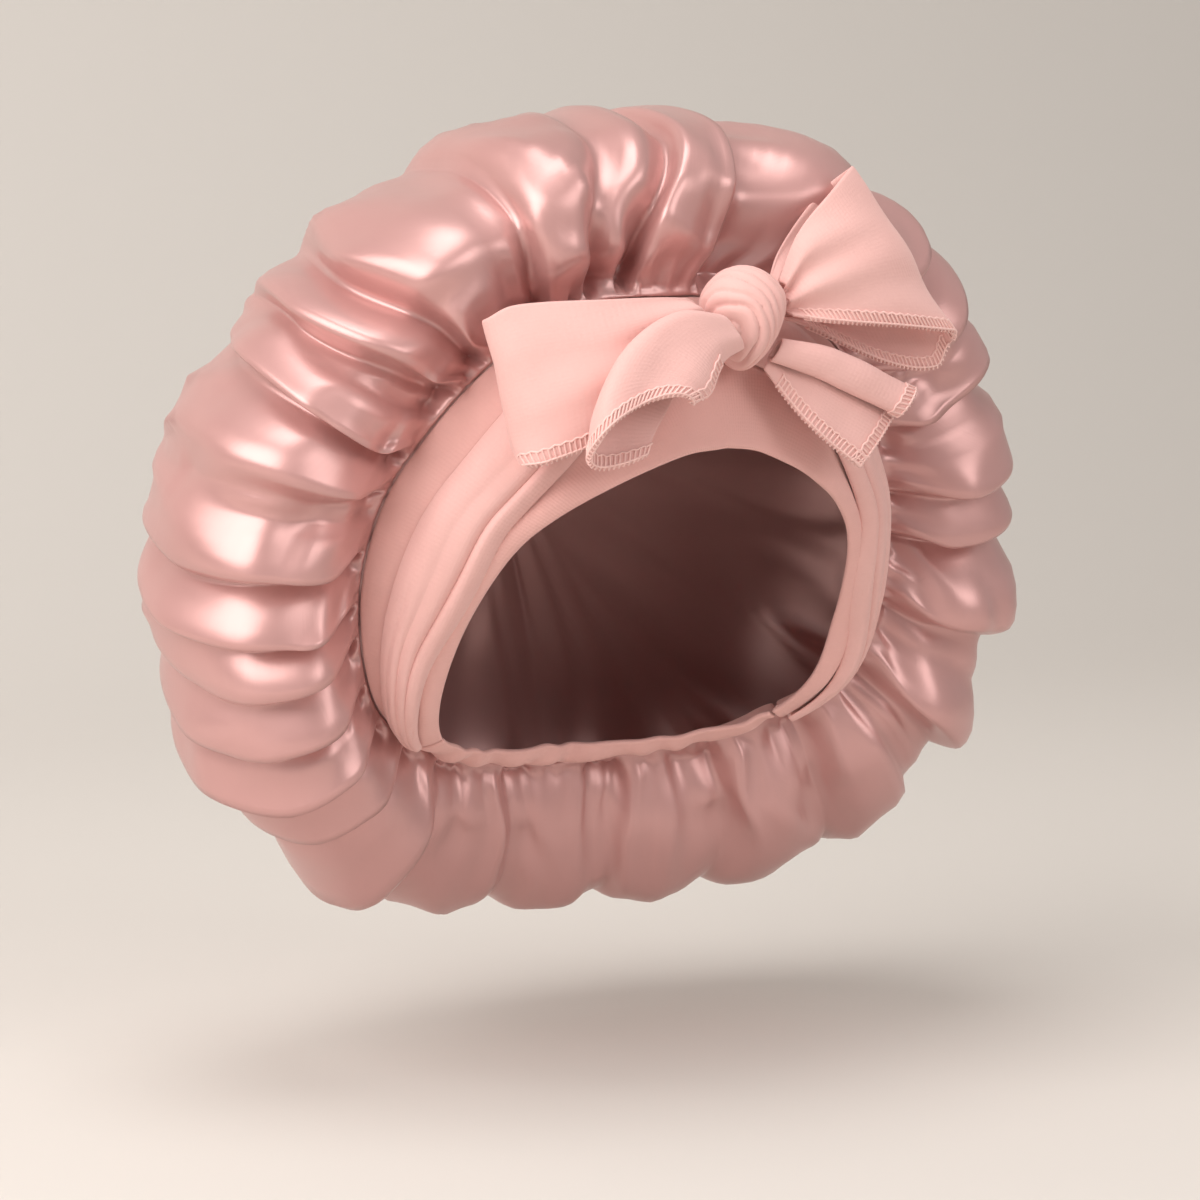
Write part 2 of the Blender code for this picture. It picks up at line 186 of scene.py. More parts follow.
def read(table, name, places):
    """The smooth values of a named column at places along the table's first column."""
    names, rows = table
    stops = np.array([row[0] for row in rows], float)
    values = np.array([row[names.index(name)] for row in rows], float)
    order = np.arange(len(stops))
    before, after = np.maximum(order - 1, 0), np.minimum(order + 1, len(stops) - 1)
    slope = (values[after] - values[before]) / (stops[after] - stops[before])
    places = np.clip(places, stops[0], stops[-1])
    i = np.clip(np.searchsorted(stops, places, side="right") - 1, 0, len(stops) - 2)
    span = stops[i + 1] - stops[i]
    t = (places - stops[i]) / span
    bend = t * t * (3 - 2 * t)
    lead = t * (1 - t) * ((1 - t) * slope[i] * span - t * slope[i + 1] * span)
    return values[i] + (values[i + 1] - values[i]) * bend + lead


def ring_point(table, turn, half_width, half_height, half_depth):
    """Points round an edge of the band, whose two halves are alike."""
    side = np.sign(turn) * read(table, "side", abs(turn))
    rise = read(table, "rise", abs(turn))
    setback = read(table, "setback", abs(turn))
    return np.stack([side * half_width, setback * half_depth, rise * half_height], axis=-1)


def seam_point(turn):
    return ring_point(SEAM_RING, turn, SEAM_HALF_WIDTH, SEAM_HALF_HEIGHT, SEAM_HALF_DEPTH)


def face_point(turn):
    return ring_point(FACE_EDGE, turn, FACE_HALF_WIDTH, FACE_HALF_HEIGHT, FACE_HALF_DEPTH)


def band_ruled(turn, share):
    """Points on the straight lines between the band's two edges."""
    share = np.asarray(share)[..., None]
    return face_point(turn) * (1 - share) + seam_point(turn) * share


def unit(ways):
    return ways / np.linalg.norm(ways, axis=-1, keepdims=True)


def band_point(turn, share, lift=0.0):
    """A point over the band: share 0 at the face edge and 1 at the seam, lifted outwards."""
    along = band_ruled(turn + 1.0, share) - band_ruled(turn - 1.0, share)
    across = seam_point(turn) - face_point(turn)
    bulge = BAND_BULGE * np.sin(math.pi * np.clip(share, 0.0, 1.0))
    return band_ruled(turn, share) + unit(np.cross(along, across)) * np.asarray(bulge + lift)[..., None]


def ripple(x, y, seed):
    """Soft smooth unevenness, from -1 to 1."""
    return np.array([noise.noise(Vector((a, b, seed))) for a, b in zip(np.ravel(x), np.ravel(y))])


def soft_step(start, end, x):
    """0 up to the start and 1 from the end on, with a smooth rise between them."""
    share = np.clip((x - start) / (end - start), 0.0, 1.0)
    return share * share * (3 - 2 * share)


def make_piece(name, built, finish):
    mesh = bpy.data.meshes.new(name)
    built.to_mesh(mesh)
    built.free()
    mesh.materials.append(finish)
    mesh.shade_smooth()
    piece = bpy.data.objects.new(name, mesh)
    bpy.context.scene.collection.objects.link(piece)
    return piece


def lay_sheet(name, grid, shape, wall, finish, flat, offset=-1.0):
    """A grid of cloth given its wall. shape turns shares along and across the cloth into points."""
    cloth = bmesh.new()
    bmesh.ops.create_grid(cloth, x_segments=grid[0], y_segments=grid[1], size=0.5)
    shares = np.array([vertex.co for vertex in cloth.verts]) + 0.5
    weave = cloth.loops.layers.uv.new("weave")
    cloth.verts.index_update()
    for face in cloth.faces:
        for loop in face.loops:
            along, across = shares[loop.vert.index][:2]
            loop[weave].uv = (along * flat[1], across * flat[0])
    for vertex, point in zip(cloth.verts, shape(shares[:, 0], shares[:, 1])):
        vertex.co = point
    piece = make_piece(name, cloth, finish)
    wall_maker = piece.modifiers.new("wall", "SOLIDIFY")
    wall_maker.thickness = wall
    wall_maker.offset = offset
    wall_maker.use_even_offset = True
    soften = piece.modifiers.new("soften", "SUBSURF")
    soften.levels = soften.render_levels = 1
    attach(piece, "root")
    return piece


band_gap_turn = math.degrees(CLEARANCE / FACE_HALF_WIDTH)


def band_shape(along, across):
    turn = (2 * along - 1) * (BAND_END_TURN - band_gap_turn)
    side = soft_step(*BAND_ROLL_GROWS, abs(turn)) * (1 - soft_step(*BAND_ROLL_FADES, abs(turn)))
    reach = BAND_ROLL_REACH + BAND_ROLL_WIDENING * soft_step(*BAND_ROLL_WIDENS, abs(turn))
    roll = BAND_EDGE_ROLL * side * np.sin(math.pi * np.clip(across / reach, 0, 1)) ** 0.8
    lift = roll + BAND_UNEVENNESS * ripple(turn / 16.0, across * 2.2, seed=0.0)
    return band_point(turn, across, lift)


band = lay_sheet("band_cloth", BAND_GRID, band_shape, BAND_WALL, jersey, (0.056, 0.46))
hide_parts("band")

# The nape casing: the short stretch of the same jersey at the nape, drawn up on elastic so that it lies in
# small gathers and closes the band.
NAPE_GATHERS, NAPE_GATHER_STRAY = 9, 0.7
NAPE_GATHER_HEIGHT = 0.0016
NAPE_EDGE_SHARE, NAPE_HEIGHT_STRAY = 0.35, 0.6
NAPE_GRID = (120, 16)


def wrapped(turn):
    """The same turn between -180 and 180 degrees."""
    return (turn + 180.0) % 360.0 - 180.0


def nape_shape(along, across):
    span = 360.0 - 2 * (BAND_END_TURN + band_gap_turn)
    turn = wrapped(BAND_END_TURN + band_gap_turn + span * along)
    stray = NAPE_GATHER_STRAY * ripple(along * 6, across * 0.8, seed=3.0)
    gather = 0.5 - 0.5 * np.cos(2 * math.pi * (NAPE_GATHERS * along + stray))
    height = NAPE_EDGE_SHARE + (1 - NAPE_EDGE_SHARE) * np.sin(math.pi * across)
    height = height + NAPE_HEIGHT_STRAY * ripple(along * 4, across, seed=13.0)
    return band_point(turn, across, -NAPE_GATHER_HEIGHT * gather * height)


nape = lay_sheet("nape_casing_cloth", NAPE_GRID, nape_shape, BAND_WALL, jersey, (0.045, 0.085))
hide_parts("nape_casing")

# The crown: one round of heavy satin, gathered all the way round its edge onto the band and the nape casing,
# so that it stands out in puffs between the gathers and lies smooth over the back. A place on it is a share
# of the way from the seam to the middle of the back.
CROWN_TILT = math.radians(16.0)
CROWN_CENTRE = np.array([0.0, 0.020, 0.003])
CROWN_HALF_WIDTH, CROWN_HALF_HEIGHT, CROWN_BACK_DEPTH = 0.170, 0.149, 0.085
CROWN_WALL = 0.0007
CROWN_RIM_PLACE = 0.40
CROWN_CORE_REACH, CROWN_CORE_DEPTH = 0.60, 0.10
CROWN_SEAM_GAP = 0.0001
CROWN_CUT_RADIUS = 0.30
CROWN_COLUMNS, CROWN_ROWS = 392, 120
CROWN_CROWDING, CROWN_CROWD_REACH, CROWN_ROW_CROWDING = 1.7, 2.6, 0.45
CROWN_FOLD_DEPTH, CROWN_FOLD_FADES = 0.016, 0.42
CROWN_LAP_WIDTH, CROWN_LAP_LEAN, CROWN_LAP_SLOPE = 3.2, 0.36, 0.35
CROWN_WANDER, CROWN_WANDER_SPREAD = 2.6, 16.0
CROWN_MOST_SWELL = 0.004
CROWN_GATHER_STRAY, CROWN_GATHER_FADES = 0.22, 0.3
CROWN_MIDDLE_SPACING, CROWN_MIDDLE_DEPTHS = 5.2, (0.0028, 0.0066)
CROWN_MIDDLE_ENDS = (0.14, 0.18, 0.26, 0.40, 0.56)
CROWN_MIDDLE_LEAST, CROWN_MIDDLE_RIM_SHARE = 0.0015, 0.6
CROWN_FINE_SPACING, CROWN_FINE_DEPTHS = 2.4, (0.0018, 0.0040)
CROWN_FINE_ENDS = (0.06, 0.08, 0.11, 0.16, 0.22)
CROWN_FINE_LEAST, CROWN_FINE_RIM_DEPTH, CROWN_FINE_SEAM_SHARE = 0.0010, 0.0004, 0.15
CROWN_DIMPLES, CROWN_DIMPLE_DEPTHS = 46, (0.0010, 0.0034)
CROWN_DIMPLE_PLACES, CROWN_DIMPLE_SLANT = (0.08, 0.26), 40
CROWN_DIMPLE_WIDTHS, CROWN_DIMPLE_LENGTHS = (2.5, 6.0), (0.03, 0.07)
CROWN_BROAD_HEIGHT, CROWN_BROAD_SPREAD = 0.0048, 11.0
CROWN_CREASE_HEIGHT, CROWN_CREASE_SPREAD = 0.0024, 10.0
CROWN_FRAMES, CROWN_PRESSURE = 18, 0.6
CROWN_MOST_MOVE = 0.010
CROWN_HELD_PLACE, CROWN_HELD_REACH, CROWN_HELD_TURN = 0.9, 0.2, 9.0
SATIN_TONE = (0.640, 0.355, 0.335, 1.0)
SATIN_SHADE = (0.540, 0.275, 0.258, 1.0)

# The crown's widest line by turn, in shares of its half sizes, and how much it swells forward there.
CROWN_RIM = (
    ("turn", "side", "rise", "swell"),
    (
        (-180, 0.00, -1.05, 0.40),
        (-165, -0.27, -1.02, 0.60),
        (-150, -0.51, -0.92, 0.90),
        (-135, -0.70, -0.76, 1.00),
        (-115, -0.89, -0.47, 1.00),
        (-90, -0.98, 0.00, 1.00),
        (-60, -0.83, 0.48, 0.70),
        (-30, -0.48, 0.87, 0.30),
        (0, 0.00, 1.01, 0.00),
        (30, 0.50, 0.87, 0.05),
        (60, 0.86, 0.48, 0.50),
        (90, 1.01, 0.00, 1.00),
        (115, 0.97, -0.50, 1.00),
        (135, 0.81, -0.84, 1.00),
        (150, 0.60, -1.00, 0.90),
        (165, 0.31, -1.05, 0.60),
        (180, 0.00, -1.05, 0.40),
    ),
)
# The way from the seam to the back: how far it keeps the seam's line (join) and the seam's depth (follow),
# its reach towards the rim, its depth, and how far it swells forward (front).
CROWN_SECTION = (
    ("place", "join", "reach", "follow", "depth", "front"),
    (
        (0.00, 1.00, 0.00, 1.00, 0.00, 0.00),
        (0.07, 0.80, 0.19, 1.00, 0.00, 0.13),
        (0.17, 0.35, 0.57, 1.00, 0.00, 0.22),
        (0.28, 0.00, 0.93, 0.90, 0.02, 0.14),
        (0.40, 0.00, 1.00, 0.50, 0.14, 0.00),
        (0.54, 0.00, 0.95, 0.20, 0.50, 0.00),
        (0.68, 0.00, 0.78, 0.00, 0.80, 0.00),
        (0.82, 0.00, 0.48, 0.00, 0.95, 0.00),
        (1.00, 0.00, 0.00, 0.00, 1.00, 0.00),
    ),
)
# The main folds: the turns where each leaves the seam and crosses the rim, its depths by the seam and at the
# rim (notch), the place where it ends (back), and its lap: 1 where the puff at the greater turn laps over it,
# or else -1.
CROWN_VALLEYS = (
    ("seam", "rim", "depth", "notch", "back", "lap"),
    (
        (-168, -172, 0.70, 0.20, 0.60, 1),
        (-150, -156, 0.90, 0.45, 0.70, 1),
        (-139, -135, 1.00, 0.50, 0.66, 1),
        (-128, -124, 0.90, 0.35, 0.58, 1),
        (-118, -114, 0.90, 0.40, 0.60, 1),
        (-108, -107, 0.90, 0.30, 0.62, 1),
        (-101, -99, 0.80, 0.25, 0.55, 1),
        (-90, -92, 1.00, 0.50, 0.70, 1),
        (-76, -79, 0.60, 0.10, 0.45, 1),
        (-67, -63, 1.00, 0.55, 0.70, 1),
        (-51, -55, 1.00, 0.65, 0.66, 1),
        (-43, -46, 0.90, 0.70, 0.70, 1),
        (-28, -26, 1.00, 0.60, 0.70, 1),
        (-20, -12, 0.80, 0.20, 0.52, -1),
        (-12, 0, 0.90, 0.50, 0.64, 1),
        (3, 9, 0.80, 0.45, 0.62, -1),
        (20, 27, 0.85, 0.50, 0.66, -1),
        (38, 42, 0.80, 0.20, 0.55, -1),
        (52, 50, 0.85, 0.30, 0.60, -1),
        (66, 63, 1.00, 0.55, 0.70, -1),
        (82, 79, 0.70, 0.15, 0.52, -1),
        (92, 88, 1.00, 0.55, 0.70, -1),
        (106, 104, 0.80, 0.25, 0.60, -1),
        (120, 120, 1.00, 0.55, 0.70, -1),
        (134, 142, 1.00, 0.50, 0.70, -1),
        (150, 160, 0.80, 0.35, 0.62, -1),
        (168, 172, 0.80, 0.20, 0.60, -1),
    ),
)
crown_up = np.array([0.0, -math.sin(CROWN_TILT), math.cos(CROWN_TILT)])
crown_back = np.array([0.0, math.cos(CROWN_TILT), math.sin(CROWN_TILT)])


def crown_reach(turn):
    """From the crown's centre out to its rim."""
    side, rise = read(CROWN_RIM, "side", turn)[:, None], read(CROWN_RIM, "rise", turn)[:, None]
    return crown_up * rise * CROWN_HALF_HEIGHT + np.array([1.0, 0.0, 0.0]) * side * CROWN_HALF_WIDTH


def crown_base(turn, place):
    """The crown without its folds."""
    turn = wrapped(turn)
    ring = seam_point(turn) - CROWN_CENTRE
    ring_depth = (ring @ crown_back)[:, None]
    ring_reach = ring - crown_back * ring_depth
    reach = crown_reach(turn)
    part = {name: read(CROWN_SECTION, name, place)[:, None] for name in CROWN_SECTION[0]}
    front = part["front"] * read(CROWN_RIM, "swell", turn)[:, None]
    depth = part["follow"] * ring_depth + (part["depth"] - front) * CROWN_BACK_DEPTH
    ring_reach = ring_reach * (1 + CROWN_SEAM_GAP / np.linalg.norm(ring_reach, axis=1, keepdims=True))
    return CROWN_CENTRE + crown_back * depth + ring_reach * part["join"] + reach * part["reach"]


def crown_inward(turn, points):
    """The way from points on the crown towards the middle of its roll."""
    reach = crown_reach(wrapped(turn))
    core = CROWN_CENTRE + reach * CROWN_CORE_REACH + crown_back * CROWN_BACK_DEPTH * CROWN_CORE_DEPTH
    return unit(core - points)


def split(seams, spacing, chance):
    """The columns of valleys put in between neighbouring ones, about so many degrees apart."""
    made = []
    for seam, far_seam in zip(seams, [*seams[1:], seams[0] + 360]):
        count = max(1, round((far_seam - seam) / spacing))
        for k in range(1, count):
            step = k + chance.uniform(-CROWN_GATHER_STRAY, CROWN_GATHER_STRAY)
            made.append(seam + (far_seam - seam) * step / count)
    return made


def between_valleys(column, place, valleys):
    """Where each place lies between its two valleys and how deep the cloth sinks there, with the width
    between the valleys, the first one's number and both laps. A valley is its column, its depths near the
    seam and at the rim, the places where it starts and ends fading, and its lap."""
    rows = np.array(sorted((wrapped(valley[0]), *valley[1:]) for valley in valleys), float)
    rows = np.vstack([rows[-1], rows, rows[0]])
    rows[0, 0] -= 360.0
    rows[-1, 0] += 360.0
    columns, depths, notches, firsts, lasts, laps = rows.T
    cell = np.clip(np.searchsorted(columns, column, side="right") - 1, 0, len(rows) - 2)
    width = columns[cell + 1] - columns[cell]
    u = (column - columns[cell]) / width
    outward = soft_step(0.08, CROWN_RIM_PLACE, place)
    sink = [
        (depths[k] * (1 - outward) + notches[k] * outward) * (1 - soft_step(firsts[k], lasts[k], place))
        for k in (cell, cell + 1)
    ]
    return u, sink[0] * (1 - u) + sink[1] * u, width, cell, laps[cell], laps[cell + 1]


def lapped(u, width, near, far):
    """The height of a puff that laps over a neighbour, and how far its crest leans over that neighbour."""
    edge = np.minimum(CROWN_LAP_WIDTH / width, 0.4)
    crest = np.where(near > 0, np.where(far < 0, 0.5, edge), np.where(far < 0, 1 - edge, 0.5))
    rising = u < crest
    share = np.where(rising, u / crest, (1 - u) / (1 - crest))
    away = np.where(rising, u, 1 - u) / edge
    steep = np.where(rising, near > 0, far < 0)
    slope = CROWN_LAP_SLOPE * share + (1 - CROWN_LAP_SLOPE) * share * share * (3 - 2 * share)
    height = np.where(steep, np.sin(math.pi / 2 * np.clip(away, 0, 1)) ** 0.6, slope)
    both = (near > 0) & (far < 0)
    return height, height**3 * np.where(both, 2 * u - 1, 1.0 * (far < 0) - 1.0 * (near > 0))


def round_ripple(turn, spread, place, seed):
    """Soft unevenness that closes on itself round the crown and changes about every so many degrees."""
    size, angle = math.degrees(1) / spread, np.radians(turn)
    return np.array(
        [noise.noise(Vector(spot)) for spot in zip(size * np.sin(angle), size * np.cos(angle), place + seed)]
    )


def crown_shape(column, place):
    """The gathered crown. A column is a thread of the cloth that leaves the seam at that turn."""
    chance = random.Random(7)
    names, rows = CROWN_VALLEYS
    main = [dict(zip(names, row)) for row in rows]
    seams = [v["seam"] for v in main]
    drift = np.interp(column, seams, [v["rim"] - v["seam"] for v in main], period=360)
    turn = column + drift * soft_step(0.0, CROWN_RIM_PLACE, place)
    wander = CROWN_WANDER * round_ripple(turn, CROWN_WANDER_SPREAD, place * 5.0, seed=11.0)
    turn = turn + wander * soft_step(0.03, 0.2, place)

    # The main folds, whose puffs lap over one another.
    valleys = []
    for v in main:
        deep, notch = v["depth"] * CROWN_FOLD_DEPTH, v["notch"] * CROWN_FOLD_DEPTH
        valleys.append((v["seam"], deep, notch, CROWN_FOLD_FADES, v["back"], v["lap"]))
    u, sunk, width, cell, near, far = between_valleys(column, place, valleys)
    puff, lean = lapped(u, width, near, far)
    swell = np.array([chance.uniform(0.000, CROWN_MOST_SWELL) for _ in range(len(main) + 1)])
    swell[-1] = swell[0]
    rise = swell[cell] * puff * soft_step(0.03, 0.2, place) * (1 - soft_step(0.45, 0.7, place))
    total = sunk * (1 - puff) * soft_step(0.0, 0.07, place) - rise
    hang = CROWN_LAP_LEAN * sunk * lean * soft_step(0.03, 0.14, place)

    # The gathers between the main folds, crisp at the seam and soft farther out.
    middle = [(seam, CROWN_MIDDLE_LEAST, 0.0, 0.10, 0.22, 0) for seam in seams]
    for seam in split(seams, CROWN_MIDDLE_SPACING, chance):
        depth, last = chance.uniform(*CROWN_MIDDLE_DEPTHS), chance.choice(CROWN_MIDDLE_ENDS)
        middle.append((seam, depth, depth * CROWN_MIDDLE_RIM_SHARE, last * CROWN_GATHER_FADES, last, 0))
    u, sunk, *_ = between_valleys(column, place, middle)
    smooth = 0.5 - 0.5 * np.cos(2 * math.pi * u)
    crisp = np.sin(math.pi * u) ** 0.8
    soft = soft_step(0.05, 0.16, place)
    total = total + sunk * (1 - (crisp * (1 - soft) + smooth * soft)) * soft_step(0.0, 0.04, place)

    # The fine gathers close to the seam.
    middle.sort()
    fine = [(m[0], CROWN_FINE_LEAST, 0.0, 0.03, 0.10, 0) for m in middle]
    for seam in split([m[0] for m in middle], CROWN_FINE_SPACING, chance):
        last = chance.choice(CROWN_FINE_ENDS)
        depth = chance.uniform(*CROWN_FINE_DEPTHS)
        fine.append((seam, depth, CROWN_FINE_RIM_DEPTH, last * CROWN_GATHER_FADES, last, 0))
    u, sunk, *_ = between_valleys(column, place, fine)
    from_seam = CROWN_FINE_SEAM_SHARE + (1 - CROWN_FINE_SEAM_SHARE) * soft_step(0.0, 0.025, place)
    total = total + sunk * (1 - np.sin(math.pi * u) ** 0.9) * from_seam

    # Dents with a raised ring, here and there over the puffs.
    for _ in range(CROWN_DIMPLES):
        centre, out = chance.uniform(-180, 180), chance.uniform(*CROWN_DIMPLE_PLACES)
        wide, long = chance.uniform(*CROWN_DIMPLE_WIDTHS), chance.uniform(*CROWN_DIMPLE_LENGTHS)
        slant = chance.uniform(-CROWN_DIMPLE_SLANT, CROWN_DIMPLE_SLANT)
        away = (wrapped(turn - centre - slant * (place - out)) / wide) ** 2 + ((place - out) / long) ** 2
        total = total + chance.uniform(*CROWN_DIMPLE_DEPTHS) * (1 - away) * np.exp(-away)

    # Broad unevenness and soft creases away from the seam.
    outer = soft_step(0.07, 0.20, place) * (1 - 0.55 * soft_step(0.5, 0.85, place))
    outer = outer * (1 - soft_step(0.85, 1.0, place))
    crease = abs(round_ripple(turn + 20 * place, CROWN_CREASE_SPREAD, place * 3.4, seed=5.0))
    crease = 1 - np.clip(3.0 * crease, 0, 1)
    broad = CROWN_BROAD_HEIGHT * round_ripple(turn, CROWN_BROAD_SPREAD, place * 3.6, seed=38.0)
    broad = broad + CROWN_CREASE_HEIGHT * crease * crease * (3 - 2 * crease)
    points = crown_base(turn, place)
    inward = crown_inward(turn, points)
    sideways = unit(crown_base(turn + 0.5, place) - crown_base(turn - 0.5, place) + 1e-9)
    middle_fade = (1 - soft_step(0.9, 1.0, place))[:, None]
    return points + (inward * (total - broad * outer)[:, None] + sideways * hang[:, None]) * middle_fade


def satin_finish():
    """Heavy satin: long smooth floats with a tinted gloss and hardly any grain."""
    cloth = Finish("satin")
    solid = cloth.solid()
    weave = cloth.node("ShaderNodeUVMap", {"uv_map": "weave"})[0]
    cloud = cloth.node("ShaderNodeTexNoise", {}, {"Vector": solid, "Scale": 14.0, "Detail": 3.0})[0]
    stretched = cloth.node("ShaderNodeMapping", {}, {"Vector": weave, "Scale": (900.0, 60.0, 1.0)})[0]
    floats = cloth.node("ShaderNodeTexNoise", {}, {"Vector": stretched, "Scale": 1.0, "Detail": 3.0})[0]
    colour = cloth.mixed(cloud * 0.9, SATIN_TONE, SATIN_SHADE)
    bump = cloth.node("ShaderNodeBump", {}, {"Strength": 0.10, "Distance": 0.0003, "Height": floats})[0]
    cloth.set(Base_Color=colour, Roughness=0.32 + floats * 0.08, Metallic=0.42, Normal=bump)
    cloth.set(Specular_IOR_Level=0.7, Coat_Weight=0.40, Coat_Roughness=0.30, Anisotropic=0.35)
    return cloth.material


satin = satin_finish()


def drape(cloth, rest, pinned, frames, pressure):
    """How far each vertex moves when a cloth settles towards its flat cut, held where it is pinned."""
    mesh = bpy.data.meshes.new("run")
    cloth.to_mesh(mesh)
    start = np.array([vertex.co for vertex in mesh.vertices])
    piece = bpy.data.objects.new("run", mesh)
    bpy.context.scene.collection.objects.link(piece)
    sewn = piece.vertex_groups.new(name="sewn")
    sewn.add([int(i) for i in pinned], 1.0, "REPLACE")
    piece.shape_key_add(name="gathered", from_mix=False)
    flat = piece.shape_key_add(name="flat", from_mix=False)
    for point, place in zip(flat.data, rest):
        point.co = place
    run = piece.modifiers.new("drape", "CLOTH")
    hang = run.settings
    hang.quality = 7
    hang.mass = 0.25
    hang.tension_stiffness, hang.compression_stiffness, hang.shear_stiffness = 40.0, 40.0, 8.0
    hang.bending_stiffness = 0.02
    hang.tension_damping = hang.compression_damping = hang.shear_damping = 8.0
    hang.bending_damping = 1.0
    hang.air_damping = 3.0
    hang.vertex_group_mass = "sewn"
    hang.pin_stiffness = 5.0
    hang.rest_shape_key = flat
    hang.use_pressure = True
    hang.uniform_pressure_force = pressure
    hang.effector_weights.gravity = 0.0
    run.collision_settings.use_collision = False
    run.point_cache.frame_start, run.point_cache.frame_end = 1, frames
    for step in range(1, frames + 1):
        bpy.context.scene.frame_set(step)
    seen = piece.evaluated_get(bpy.context.evaluated_depsgraph_get()).data
    settled = np.array([vertex.co for vertex in seen.vertices])
    bpy.data.objects.remove(piece, do_unlink=True)
    bpy.context.scene.frame_set(1)
    return settled - start


def crowded(share):
    """The cloth's columns in degrees of turn. They lie closer together at the main folds."""
    turns = np.linspace(-180, 180, 3601)
    folds = np.array([row[0] for row in CROWN_VALLEYS[1]])
    away = abs(wrapped(turns[:, None] - folds)).min(axis=1)
    passed = np.cumsum(1 + CROWN_CROWDING * np.exp(-((away / CROWN_CROWD_REACH) ** 2)))
    return np.interp(share, (passed - passed[0]) / (passed[-1] - passed[0]), turns)


def crown_grid(columns, rows):
    """The crown's cloth as a grid, and for each vertex its number along and across, its point on the flat
    cut, its column and its place."""
    cloth = bmesh.new()
    bmesh.ops.create_grid(cloth, x_segments=columns, y_segments=rows, size=0.5)
    cloth.verts.index_update()
    share = np.array([vertex.co for vertex in cloth.verts])[:, :2] + 0.5
    column = crowded(share[:, 0])
    place = share[:, 1] * (1 - CROWN_ROW_CROWDING + CROWN_ROW_CROWDING * share[:, 1])
    turn, reach = np.radians(column), (1 - place) * CROWN_CUT_RADIUS
    for vertex, point in zip(cloth.verts, crown_shape(column, place)):
        vertex.co = point
    flat = np.stack([reach * np.sin(turn), reach * np.cos(turn), 0 * reach], axis=1)
    return cloth, np.rint(share * (columns, rows)).astype(int).T, flat, column, place


crown_cloth, crown_spots, crown_cut, *_ = crown_grid(CROWN_COLUMNS, CROWN_ROWS)
crown_weave = crown_cloth.loops.layers.uv.new("weave")
for face in crown_cloth.faces:
    for loop in face.loops:
        loop[crown_weave].uv = crown_cut[loop.vert.index][:2]
# The cloth run works on a grid half as fine, and its moves are spread over the finer one.
run_cloth, run_spots, run_cut, run_column, run_place = crown_grid(CROWN_COLUMNS // 2, CROWN_ROWS // 2)
at_seam, at_ends = run_place < 1e-6, abs(run_column) > 180 - 1e-6
held = np.flatnonzero(at_seam | (run_place > CROWN_HELD_PLACE) | at_ends)
move = drape(run_cloth, run_cut, held, CROWN_FRAMES, CROWN_PRESSURE)
run_cloth.free()
size = np.linalg.norm(move, axis=1)
free = soft_step(0.0, CROWN_HELD_REACH, run_place)
free = free * soft_step(0.0, CROWN_HELD_TURN, 180 - abs(run_column))
free = free * soft_step(0.0, CROWN_HELD_REACH, CROWN_HELD_PLACE - run_place)
move = move * (free * np.minimum(1, CROWN_MOST_MOVE / np.maximum(size, 1e-9)))[:, None]
moves = np.zeros((CROWN_COLUMNS + 1, CROWN_ROWS + 1, 3))
moves[2 * run_spots[0], 2 * run_spots[1]] = move
moves[1::2] = (moves[:-1:2] + moves[2::2]) / 2
moves[:, 1::2] = (moves[:, :-1:2] + moves[:, 2::2]) / 2
for vertex, shift in zip(crown_cloth.verts, moves[crown_spots[0], crown_spots[1]]):
    vertex.co += Vector(shift)
bmesh.ops.remove_doubles(crown_cloth, verts=crown_cloth.verts, dist=0.00001)
bmesh.ops.recalc_face_normals(crown_cloth, faces=crown_cloth.faces)
crown = make_piece("crown_satin", crown_cloth, satin)
crown_wall = crown.modifiers.new("wall", "SOLIDIFY")
crown_wall.thickness = CROWN_WALL
crown_wall.offset = -1.0
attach(crown, "root")
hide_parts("crown")

# The ties: one long jersey strap from each side of the nape. Each lies over the band in soft lengthwise
# folds on its way up to the knot.
TIE_WALL = 0.0011
TIE_WIDTH = 0.070
TIE_LIFT = 0.0008
TIE_END_TURN = 135.0
TIE_FOLD_HEIGHT = 0.0046
TIE_FOLD_WANDER = 0.04
TIE_FRONT_ROUNDING, TIE_BACK_ROUNDING = 0.13, 0.30
TIE_VALLEY_SINK, TIE_VALLEY_MOST = 0.7, 1.1
TIE_GRID = (120, 36)
BOW_TONE = (0.790, 0.475, 0.440, 1.0)
BOW_SHADE = (0.720, 0.405, 0.372, 1.0)
bow_jersey = jersey_finish("bow_jersey", BOW_TONE, BOW_SHADE)

KNOT_HALF_WIDTH, KNOT_HALF_HEIGHT, KNOT_HALF_DEPTH = 0.0165, 0.0180, 0.0150
tie_start_turn = math.degrees(KNOT_HALF_WIDTH / SEAM_HALF_WIDTH)
# Where a tie's two edges lie over the band by turn, and how high it is folded.
TIE_PATH = (
    ("turn", "front", "back", "folds"),
    (
        (0, 0.58, 0.94, 0.30),
        (20, 0.46, 0.90, 0.50),
        (45, 0.26, 0.74, 0.80),
        (70, 0.16, 0.68, 1.00),
        (95, 0.10, 0.70, 1.00),
        (115, 0.30, 0.78, 0.90),
        (128, 0.40, 0.82, 0.50),
        (135, 0.42, 0.84, 0.30),
    ),
)
